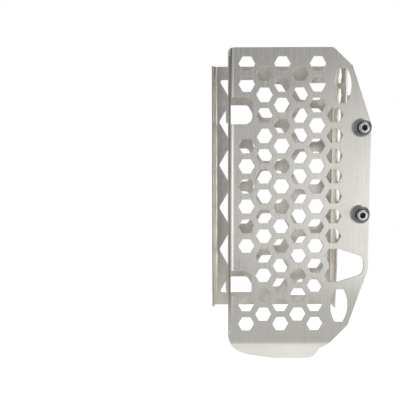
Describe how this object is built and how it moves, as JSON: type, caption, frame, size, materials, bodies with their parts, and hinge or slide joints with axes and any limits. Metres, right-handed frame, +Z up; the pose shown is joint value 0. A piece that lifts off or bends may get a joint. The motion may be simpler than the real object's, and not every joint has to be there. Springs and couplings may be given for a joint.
{
  "type": "motorcycle radiator guard",
  "caption": "Folded stainless radiator guard: honeycomb front panel, rear brace with large hexagon windows, and collar bolts through the outer wing.",
  "frame": {"origin": "axis of the upper bolt, where its free thread starts behind the tab", "axes": "+X outward across the panel, +Y back from the panel towards the rear brace, +Z up"},
  "size_m": [0.1482, 0.0552, 0.2989],
  "materials": {
    "guard_steel": "brushed",
    "brace_steel": "brushed",
    "collar_zinc": "zinc plated",
    "bolt_steel": "bright plated"
  },
  "bodies": {
    "root": {"front_guard": "guard_steel", "rear_brace": "brace_steel", "collar_upper": "collar_zinc", "collar_lower": "collar_zinc", "bolt_upper": "bolt_steel", "bolt_lower": "bolt_steel"}
  },
  "joints": []
}
